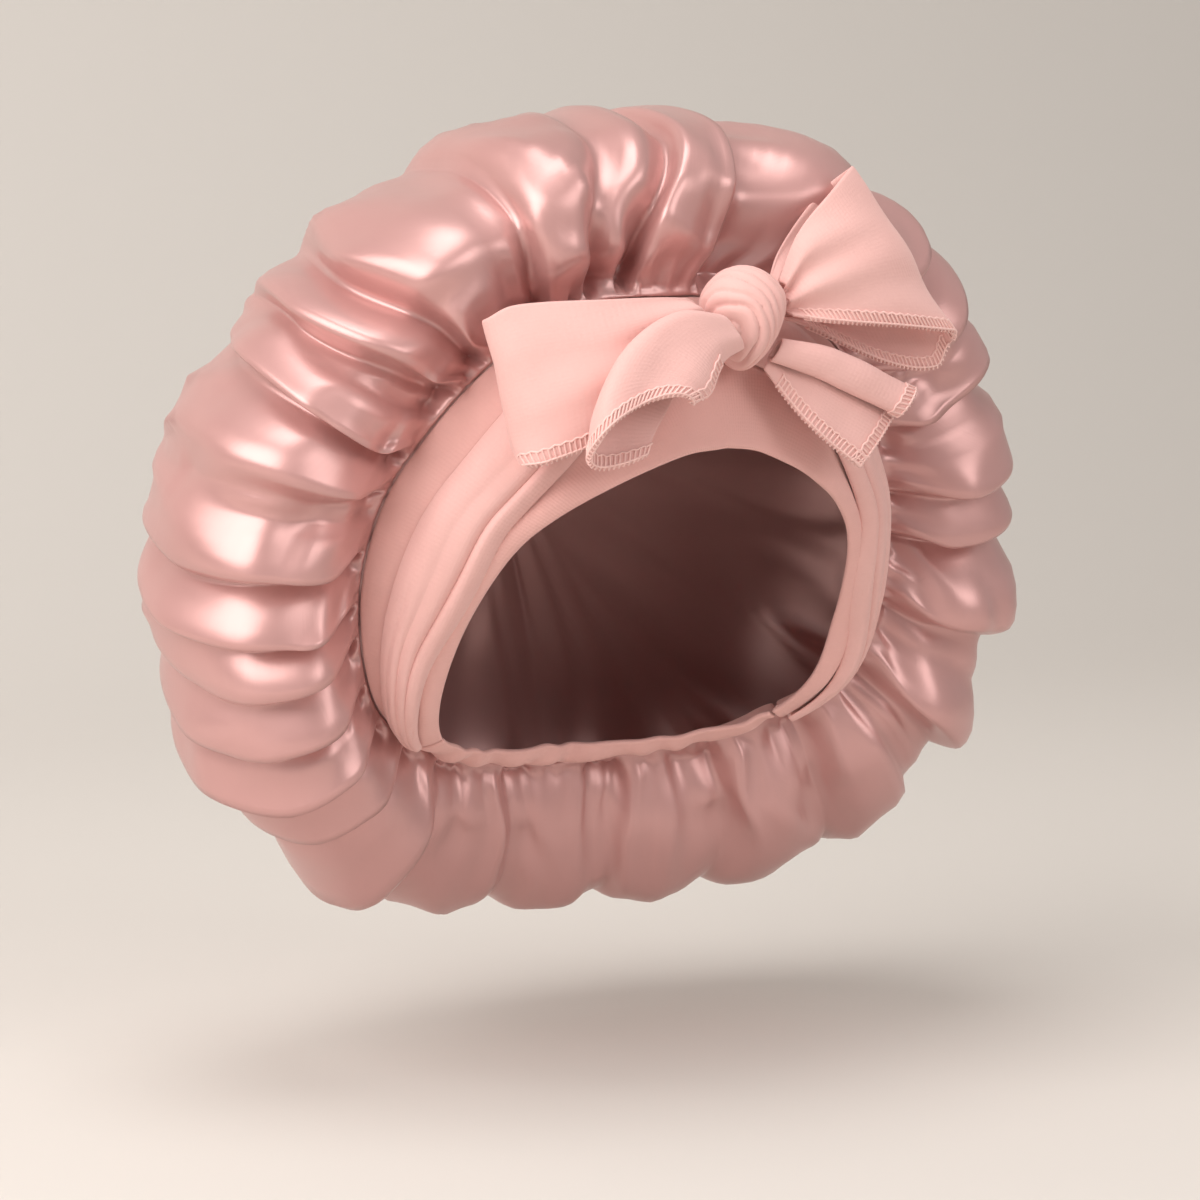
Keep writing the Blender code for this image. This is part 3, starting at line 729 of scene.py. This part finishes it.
# A tie's three lengthwise valleys by turn: each one's place across the tie and then its depth.
TIE_FOLDS = (
    ("turn", "first", "sharp", "second", "dip", "third", "slack"),
    (
        (8, 0.30, 0.50, 0.55, 0.50, 0.78, 0.50),
        (25, 0.26, 0.55, 0.52, 0.20, 0.76, 0.16),
        (45, 0.22, 0.70, 0.50, 0.12, 0.74, 0.10),
        (70, 0.22, 0.80, 0.52, 0.14, 0.74, 0.12),
        (88, 0.26, 0.85, 0.56, 0.22, 0.76, 0.20),
        (105, 0.34, 0.85, 0.62, 0.50, 0.82, 0.55),
        (120, 0.36, 0.90, 0.62, 0.80, 0.84, 0.70),
        (135, 0.30, 0.90, 0.55, 0.85, 0.80, 0.75),
    ),
)
TIE_VALLEY_WIDTHS = {"first": 0.045, "second": 0.085, "third": 0.075}
TIE_HOLLOW_TURN, TIE_HOLLOW_PLACE = 127.0, 0.14
TIE_HOLLOW_LENGTH, TIE_HOLLOW_WIDTH, TIE_HOLLOW_DEPTH = 2.5, 0.05, 0.35


def tie_shape(hand, seed):
    def shape(along, across):
        turn = tie_start_turn + (TIE_END_TURN - tie_start_turn) * (along if hand > 0 else 1 - along)
        front, back = read(TIE_PATH, "front", turn), read(TIE_PATH, "back", turn)
        wander = TIE_FOLD_WANDER * ripple(turn / 22.0, across * 1.2, seed)
        wave = np.clip(across + wander * np.sin(math.pi * across), 0, 1)
        dips = np.zeros_like(wave)
        for line, depth in (("first", "sharp"), ("second", "dip"), ("third", "slack")):
            away = (wave - read(TIE_FOLDS, line, turn)) / TIE_VALLEY_WIDTHS[line]
            dips = dips + read(TIE_FOLDS, depth, turn) * np.exp(-(abs(away) ** 1.5))
        edges = np.clip(wave / TIE_FRONT_ROUNDING, 0, 1) ** 0.5
        edges = edges * soft_step(0.0, TIE_BACK_ROUNDING, 1 - wave) ** 0.7
        hollow = ((turn - TIE_HOLLOW_TURN) / TIE_HOLLOW_LENGTH) ** 2
        hollow = hollow + ((across - TIE_HOLLOW_PLACE) / TIE_HOLLOW_WIDTH) ** 2
        body = edges * (1 - TIE_VALLEY_SINK * np.clip(dips, 0, TIE_VALLEY_MOST))
        body = body - TIE_HOLLOW_DEPTH * np.exp(-hollow)
        lift = TIE_LIFT + TIE_FOLD_HEIGHT * read(TIE_PATH, "folds", turn) * np.maximum(body, 0)
        return band_point(hand * turn, front + (back - front) * across, lift)

    return shape


for name, hand, seed in (("left", -1, 21.0), ("right", 1, 23.0)):
    tie = lay_sheet(
        f"tie_{name}_cloth", TIE_GRID, tie_shape(hand, seed), TIE_WALL, bow_jersey, (0.042, 0.185), offset=1.0
    )
    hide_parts(f"tie_{name}")

# The knot: the ties are knotted once at the forehead, and the strap that wraps over the knot lies in tight
# slanting pleats. It is a soft lump of jersey through and through.
BOW_TURN, BOW_SHARE = 3.0, 0.69
KNOT_CLEARANCE = 0.0012
BOW_LEAN = math.radians(14.0)
BOW_PUFF = 0.014
KNOT_WRAPS, KNOT_WRAP_BEND = 8.0, 0.16
KNOT_PLEAT_DEPTH = 0.0019
KNOT_PLEAT_LEAST, KNOT_PLEAT_STRAY = 0.45, 0.55
KNOT_POLE = Vector((-0.74, 0.50, -0.45)).normalized()
KNOT_WAIST, KNOT_TAPER = 0.4, 0.50
KNOT_TIP_ASIDE, KNOT_ASIDE = 0.16, 0.03
bow_side_way = np.array([1.0, 0.0, 0.0])
bow_rise_way = np.array([0.0, math.sin(BOW_LEAN), math.cos(BOW_LEAN)])
bow_out_way = np.array([0.0, -math.cos(BOW_LEAN), math.sin(BOW_LEAN)])
bow_centre = band_point(np.array([BOW_TURN]), BOW_SHARE, KNOT_HALF_DEPTH + KNOT_CLEARANCE)[0]


def bow_point(run, rise, out):
    """A point so far to the right of the knot's middle, above it and out from the forehead."""
    run, rise, out = (np.asarray(x)[..., None] for x in (run, rise, out))
    return bow_centre + bow_side_way * run + bow_rise_way * rise + bow_out_way * out


knot_ball = bmesh.new()
bmesh.ops.create_uvsphere(knot_ball, u_segments=140, v_segments=90, radius=1.0)
for vertex in knot_ball.verts:
    run, depth, rise = vertex.co
    level = -KNOT_POLE.dot(Vector((-run, depth, -rise)))
    bend = KNOT_WRAP_BEND * noise.noise(Vector((run * 1.3, depth * 1.3, rise * 1.3 + 4.0)))
    phase = KNOT_WRAPS * 0.5 * (level + 1 + bend)
    stray = 0.5 + noise.noise(Vector((math.floor(phase) * 3.7, run * 0.8, rise * 0.8)))
    depth_share = KNOT_PLEAT_LEAST + KNOT_PLEAT_STRAY * stray
    pleat = abs(math.sin(math.pi * phase)) ** 0.55
    girth = 1 - KNOT_PLEAT_DEPTH / KNOT_HALF_DEPTH * (1 - pleat) * min(depth_share, 1.0)
    low = max(KNOT_WAIST - rise, 0.0) / (1 + KNOT_WAIST)
    run = run * (1 - KNOT_TAPER * low) - KNOT_TIP_ASIDE * low * low + KNOT_ASIDE
    vertex.co = bow_point(
        run * KNOT_HALF_WIDTH * girth,
        rise * KNOT_HALF_HEIGHT * girth,
        -depth * KNOT_HALF_DEPTH * girth,
    )
knot = make_piece("knot_cloth", knot_ball, bow_jersey)
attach(knot, "root")
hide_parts("bow_knot")

# The bow's loops: each tie is doubled back on itself beside the knot, so that a front ply and a back ply hang
# from one soft fold at the outer end.
LOOP_LENGTH = 0.091
LOOP_PLEATS, LOOP_PLEAT_STRAY, LOOP_PLEAT_HEIGHT = 2.6, 0.25, 0.0019
LOOP_PLEAT_REACH = 0.36
LOOP_GRID = (110, 28)
LOOP_SWELL, LOOP_SAG, LOOP_TOP_TAUTNESS = 0.0035, 0.0044, 0.8
# A loop's upper and lower edges, from the knot along the front ply and back along the back ply.
LEFT_LOOP = (
    ("place", "top_run", "top_rise", "low_run", "low_rise", "out"),
    (
        (0.00, -0.01, 0.06, -0.01, -0.14, 0.10),
        (0.10, 0.11, 0.09, 0.06, -0.20, 0.40),
        (0.25, 0.53, 0.09, 0.53, -0.54, 0.25),
        (0.40, 0.90, 0.10, 0.83, -0.66, -0.45),
        (0.48, 1.00, 0.06, 0.90, -0.66, -0.85),
        (0.54, 0.99, 0.06, 0.89, -0.64, -1.20),
        (0.62, 0.88, 0.06, 0.80, -0.60, -1.35),
        (0.78, 0.50, 0.04, 0.50, -0.46, -0.95),
        (0.90, 0.13, 0.03, 0.11, -0.16, -0.40),
        (1.00, -0.01, 0.02, -0.01, -0.10, -0.30),
    ),
)
RIGHT_LOOP = (
    ("place", "top_run", "top_rise", "low_run", "low_rise", "out"),
    (
        (0.00, -0.03, 0.18, -0.01, -0.01, 0.20),
        (0.10, 0.07, 0.40, 0.14, -0.05, 0.50),
        (0.25, 0.26, 0.60, 0.55, -0.08, 0.60),
        (0.40, 0.43, 0.74, 0.85, -0.10, 0.25),
        (0.48, 0.48, 0.76, 0.94, -0.11, -0.10),
        (0.54, 0.48, 0.75, 0.95, -0.15, -0.50),
        (0.62, 0.43, 0.71, 0.90, -0.24, -0.70),
        (0.78, 0.26, 0.56, 0.58, -0.20, -0.70),
        (0.90, 0.06, 0.34, 0.16, -0.04, -0.45),
        (1.00, -0.03, 0.15, -0.02, 0.01, -0.35),
    ),
)


def loop_shape(table, hand, seed):
    start = KNOT_HALF_WIDTH + KNOT_CLEARANCE

    def shape(along, across):
        place = along if hand < 0 else 1 - along
        run = read(table, "top_run", place) * across + read(table, "low_run", place) * (1 - across)
        rise = read(table, "top_rise", place) * across + read(table, "low_rise", place) * (1 - across)
        out = read(table, "out", place) * BOW_PUFF
        near = 1 - soft_step(0.0, LOOP_PLEAT_REACH, np.minimum(place, 1 - place))
        stray = LOOP_PLEAT_STRAY * ripple(place * 4, across * 2, seed)
        pleats = np.cos(2 * math.pi * (LOOP_PLEATS * across + stray))
        front_ply = np.sin(math.pi * np.clip(2 * place, 0, 1)) * (place < 0.5)
        swell = LOOP_SWELL * np.sin(math.pi * across) * front_ply
        sag = LOOP_SAG * ripple(place * 3.4 + across * 1.5, across * 3.0, seed + 2.0)
        sag = sag * np.sin(math.pi * place) * (1 - LOOP_TOP_TAUTNESS * across**3)
        run = start + run * (LOOP_LENGTH - start)
        return bow_point(hand * run, rise * TIE_WIDTH, out + LOOP_PLEAT_HEIGHT * near * pleats + swell + sag)

    return shape


loop_shapes = {}
for name, table, hand, seed in (("left", LEFT_LOOP, -1, 31.0), ("right", RIGHT_LOOP, 1, 37.0)):
    loop_shapes[name] = loop_shape(table, hand, seed)
    loop_piece = lay_sheet(
        f"bow_loop_{name}_cloth",
        LOOP_GRID,
        loop_shapes[name],
        TIE_WALL,
        bow_jersey,
        (0.05, 0.145),
        offset=0.0,
    )
    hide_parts(f"bow_loop_{name}")

# The bow's tails: the short ends of the ties below the loops. The jersey's cut edges make them roll up along
# their length, so that they open at their mouths.
TAIL_LENGTH = 0.076
# A tail's middle line, half width, turn of its width in degrees, puff and distance out, from root to mouth.
LEFT_TAIL = (
    ("place", "mid_run", "mid_rise", "half", "turn", "puff", "out"),
    (
        (0.00, 0.00, 0.00, 0.10, 58, 0.30, 0.80),
        (0.20, 0.19, -0.04, 0.17, 50, 0.40, 1.00),
        (0.50, 0.37, -0.18, 0.24, 35, 0.55, 1.05),
        (0.80, 0.50, -0.33, 0.27, 5, 0.60, 1.10),
        (1.00, 0.56, -0.44, 0.27, -14, 0.62, 1.15),
    ),
)
RIGHT_TAIL = (
    ("place", "mid_run", "mid_rise", "half", "turn", "puff", "out"),
    (
        (0.00, -0.03, 0.03, 0.07, 56, 0.22, 0.15),
        (0.25, 0.15, -0.09, 0.16, 58, 0.35, 0.25),
        (0.50, 0.27, -0.17, 0.20, 55, 0.40, 0.25),
        (0.75, 0.41, -0.25, 0.22, 52, 0.40, 0.20),
        (1.00, 0.55, -0.32, 0.24, 46, 0.42, 0.10),
    ),
)
TAIL_GRID = (48, 64)
TAIL_START, TAIL_ROLL = -112.0, 268.0
TAIL_UNDERCUT, TAIL_SIDE_UNDERCUT = 0.12, 0.03
TAIL_LIP_WAVE, TAIL_LIP_UNEVENNESS = 0.0022, 0.0010
CURL_START, CURL_ROLL = -90.0, 300.0
CURL_RADIUS_SHARE, CURL_LEAST_RADIUS, CURL_WIDENING = 0.55, 0.001, 1.5
CURL_WAVE, CURL_UNEVENNESS = 0.0016, 0.0012


def turned_under(along, across, half, puff, seed):
    """The left tail's section, a wide roll most of the way round, with its front drawn up at the mouth."""
    angle = np.radians(TAIL_START + TAIL_ROLL * across)
    wide, deep = half * np.cos(angle), puff * np.sin(angle)
    deep = deep + TAIL_LIP_WAVE * along * np.sin(3 * angle + 0.6)
    deep = deep + TAIL_LIP_UNEVENNESS * ripple(along * 3, across * 6, seed)
    return wide, deep, np.sin(angle) * TAIL_LENGTH * along


def rolled_forward(along, across, half, puff, seed):
    """The right tail's section. Half of its cloth lies flat, and the rest is rolled forward along the top."""
    angle = np.radians(CURL_START + CURL_ROLL * np.clip((across - 0.5) / 0.5, 0, 1))
    radius = CURL_RADIUS_SHARE * puff + CURL_LEAST_RADIUS
    flat_wide = -half + (2 * half - radius) * np.clip(across / 0.5, 0, 1)
    wide = np.where(across > 0.5, half - radius + radius * np.cos(angle) * CURL_WIDENING, flat_wide)
    deep = np.where(across > 0.5, radius * (1 + np.sin(angle)), 0 * across) - 0.5 * puff
    deep = deep + CURL_UNEVENNESS * ripple(along * 3, across * 4, seed)
    deep = deep + CURL_WAVE * np.sin(2.2 * math.pi * across) * along
    return wide, deep, 0 * across


def tail_shape(table, root_run, root_rise, hand, section, seed):
    """A tail from its root on the knot to its mouth. Its section gives its width, depth and how far it is
    drawn up."""

    def shape(along, across):
        half, puff = read(table, "half", along) * TIE_WIDTH, read(table, "puff", along) * BOW_PUFF
        wide, deep, under = section(along, across, half, puff, seed)
        width_way = np.radians(read(table, "turn", along))
        run = root_run * KNOT_HALF_WIDTH + read(table, "mid_run", along) * TAIL_LENGTH
        rise = root_rise * KNOT_HALF_HEIGHT + read(table, "mid_rise", along) * TAIL_LENGTH
        run = run - TAIL_SIDE_UNDERCUT * under
        rise = rise + TAIL_UNDERCUT * under
        out = read(table, "out", along) * BOW_PUFF + deep
        return bow_point(hand * (run + wide * np.cos(width_way)), rise + wide * np.sin(width_way), out)

    return shape


tail_shapes = {}
for name, table, root_run, root_rise, hand, section, seed, cut in (
    ("left", LEFT_TAIL, 0.78, -0.42, -1, turned_under, 41.0, (0.065, 0.060)),
    ("right", RIGHT_TAIL, 0.62, -0.89, 1, rolled_forward, 43.0, (0.055, 0.052)),
):
    tail_shapes[name] = tail_shape(table, root_run, root_rise, hand, section, seed)
    tail = lay_sheet(
        f"bow_tail_{name}_cloth", TAIL_GRID, tail_shapes[name], TIE_WALL, bow_jersey, cut, offset=0.0
    )
    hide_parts(f"bow_tail_{name}")

# The overlocking: the raw edges of the ties are bound with overlock thread, in close bars across the edge
# between a line along the edge and a chain along the inside.
STITCH_PITCH, STITCH_SLANT = 0.0017, 0.35
HEM_WIDTH, HEM_LINE = 0.0045, 0.0006
CHAIN_SWAY = 0.00035
THREAD_RADIUS, THREAD_PROUD = 0.00038, 0.6
THREAD_TONE = (0.930, 0.600, 0.545, 1.0)
thread = Finish("overlock_thread")
thread_cloud = thread.node(
    "ShaderNodeTexNoise", {}, {"Vector": thread.solid(), "Scale": 700.0, "Detail": 2.0}
)[0]
thread.set(Base_Color=thread.mixed(thread_cloud, THREAD_TONE, BOW_TONE), Roughness=0.6 + thread_cloud * 0.2)
thread.set(Sheen_Weight=0.2)
stitches = bpy.data.curves.new("overlock_stitches", "CURVE")
stitches.dimensions = "3D"
stitches.bevel_depth = THREAD_RADIUS
stitches.bevel_resolution = 1
stitches.use_fill_caps = True


def lay_thread(points):
    spline = stitches.splines.new("POLY")
    spline.points.add(len(points) - 1)
    spline.points.foreach_set("co", np.c_[points, np.ones(len(points))].ravel())


def overlock(shape, edge, inner, side):
    """Stitches along an edge, seen from one side of the cloth.

    edge and inner turn a share of the edge's length into places on the cloth."""
    share = np.linspace(0, 1, 400)
    rim = shape(*edge(share))
    steps = np.r_[0, np.cumsum(np.linalg.norm(np.diff(rim, axis=0), axis=1))]
    count = max(4, int(steps[-1] / STITCH_PITCH))
    share = np.interp(np.linspace(0, steps[-1], count), steps, share)
    rim, inside = shape(*edge(share)), shape(*inner(share))
    inward = unit(inside - rim)
    along = unit(np.gradient(rim, axis=0))
    outward = unit(np.cross(along, inward)) * side
    proud = TIE_WALL / 2 + THREAD_RADIUS * THREAD_PROUD
    lip = rim - inward * THREAD_RADIUS
    face = rim + inward * HEM_LINE + outward * proud
    chain = rim + inward * HEM_WIDTH + outward * proud
    back = rim + inward * HEM_LINE - outward * proud
    for i in range(count - 1):
        slip = (chain[i + 1] - chain[i]) * STITCH_SLANT
        lay_thread(np.array([back[i], lip[i], face[i], chain[i] + slip]))
    lay_thread(face)
    sway = np.where(np.arange(count) % 2 == 0, 1.0, -1.0)[:, None]
    lay_thread(chain + inward * CHAIN_SWAY * sway)


def cloth_line(start, end):
    """Places on a line over the cloth. Its start and end are shares along and across the cloth."""

    def places(share):
        return [first + (last - first) * share for first, last in zip(start, end)]

    return places


for which, edge, inner, side in (
    (loop_shapes["left"], cloth_line((0.06, 0.0), (0.50, 0.0)), cloth_line((0.06, 0.10), (0.50, 0.10)), -1),
    (loop_shapes["right"], cloth_line((0.50, 0.0), (0.96, 0.0)), cloth_line((0.50, 0.10), (0.96, 0.10)), -1),
    (loop_shapes["right"], cloth_line((0.10, 0.0), (0.48, 0.0)), cloth_line((0.10, 0.10), (0.48, 0.10)), -1),
    (tail_shapes["left"], cloth_line((1.0, 0.0), (1.0, 1.0)), cloth_line((0.92, 0.0), (0.92, 1.0)), -1),
    (tail_shapes["left"], cloth_line((0.25, 1.0), (1.0, 1.0)), cloth_line((0.25, 0.92), (1.0, 0.92)), 1),
    (tail_shapes["right"], cloth_line((1.0, 0.0), (1.0, 1.0)), cloth_line((0.92, 0.0), (0.92, 1.0)), -1),
    (tail_shapes["right"], cloth_line((0.10, 0.0), (1.0, 0.0)), cloth_line((0.10, 0.08), (1.0, 0.08)), -1),
):
    overlock(which, edge, inner, side)
    overlock(which, edge, inner, -side)
stitch_piece = bpy.data.objects.new("overlock_stitches", stitches)
bpy.context.scene.collection.objects.link(stitch_piece)
stitches.materials.append(thread.material)
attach(stitch_piece, "root")

# The stage: one pale sheet of matt paper that runs over the floor and sweeps up behind. The bonnet floats
# above it and touches nothing.
FLOOR_HEIGHT = -0.195
SWEEP_START, SWEEP_RADIUS, SWEEP_SIZE = 0.9, 0.9, 5.0
PAPER_TONE = (0.68, 0.64, 0.60, 1.0)
paper = bmesh.new()
bmesh.ops.create_grid(paper, x_segments=1, y_segments=80, size=SWEEP_SIZE)
for vertex in paper.verts:
    past = max(vertex.co.y - SWEEP_START, 0.0)
    angle = min(past / SWEEP_RADIUS, math.pi / 2)
    climb = max(past - SWEEP_RADIUS * math.pi / 2, 0.0)
    vertex.co.y = min(vertex.co.y, SWEEP_START) + SWEEP_RADIUS * math.sin(angle)
    vertex.co.z = FLOOR_HEIGHT + SWEEP_RADIUS * (1 - math.cos(angle)) + climb
paper_finish = Finish("paper")
paper_finish.set(Base_Color=PAPER_TONE, Roughness=0.85)
backdrop = make_piece("backdrop", paper, paper_finish.material)

# The light: three large soft lamps, the strongest on the left, the next at the front on the right and the
# last overhead, with a pale room all round.
ROOM_TONE = (0.90, 0.87, 0.84, 1.0)
ROOM_STRENGTH = 0.5


def lamp(name, place, aim, size, power, colour):
    light = bpy.data.lights.new(name, "AREA")
    light.shape = "ELLIPSE"
    light.size, light.size_y = size
    light.energy = power
    light.color = colour
    holder = bpy.data.objects.new(name, light)
    bpy.context.scene.collection.objects.link(holder)
    holder.location = place
    holder.rotation_euler = (Vector(aim) - Vector(place)).to_track_quat("-Z", "Y").to_euler()


lamp("key", place=(-1.75, -0.45, 1.10), aim=(0, 0, 0), size=(2.1, 1.8), power=42.0, colour=(1.0, 0.97, 0.94))
lamp("fill", place=(0.9, -2.4, 1.3), aim=(0, 0, 0), size=(1.8, 1.6), power=20.0, colour=(1.0, 0.98, 0.96))
lamp("top", place=(-0.3, -0.2, 2.0), aim=(0, 0.3, 0), size=(1.2, 1.2), power=16.0, colour=(1.0, 0.97, 0.95))
bpy.context.scene.view_settings.view_transform = "Standard"
bpy.context.scene.view_settings.look = "None"
world = bpy.data.worlds.new("room")
bpy.context.scene.world = world
world.use_nodes = True
world.node_tree.nodes["Background"].inputs["Color"].default_value = ROOM_TONE
world.node_tree.nodes["Background"].inputs["Strength"].default_value = ROOM_STRENGTH

# The camera stands to the left of the face opening, a little above it. Its lens gives the photograph's
# scale at the bonnet's middle.
CAMERA_AIM = Vector((-0.0074, 0.0015, -0.0231))
CAMERA_BACK = Vector((-0.497, -0.861, 0.1045)).normalized()
CAMERA_RIGHT = Vector((0.866, -0.5, 0.0))
CAMERA_DISTANCE = 1.3
CAMERA_SENSOR_WIDTH = 36.0
PIXELS_PER_MILLIMETRE, PICTURE_WIDTH = 2.8, 1200
camera_data = bpy.data.cameras.new("camera")
camera_data.sensor_width = CAMERA_SENSOR_WIDTH
camera_data.lens = CAMERA_SENSOR_WIDTH * PIXELS_PER_MILLIMETRE * CAMERA_DISTANCE * 1000 / PICTURE_WIDTH
camera = bpy.data.objects.new("camera", camera_data)
bpy.context.scene.collection.objects.link(camera)
camera_up = CAMERA_BACK.cross(CAMERA_RIGHT)
turned = Matrix((CAMERA_RIGHT, camera_up, CAMERA_BACK)).transposed()
camera.matrix_world = Matrix.Translation(CAMERA_AIM + CAMERA_BACK * CAMERA_DISTANCE) @ turned.to_4x4()
bpy.context.scene.camera = camera

bpy.context.view_layer.update()
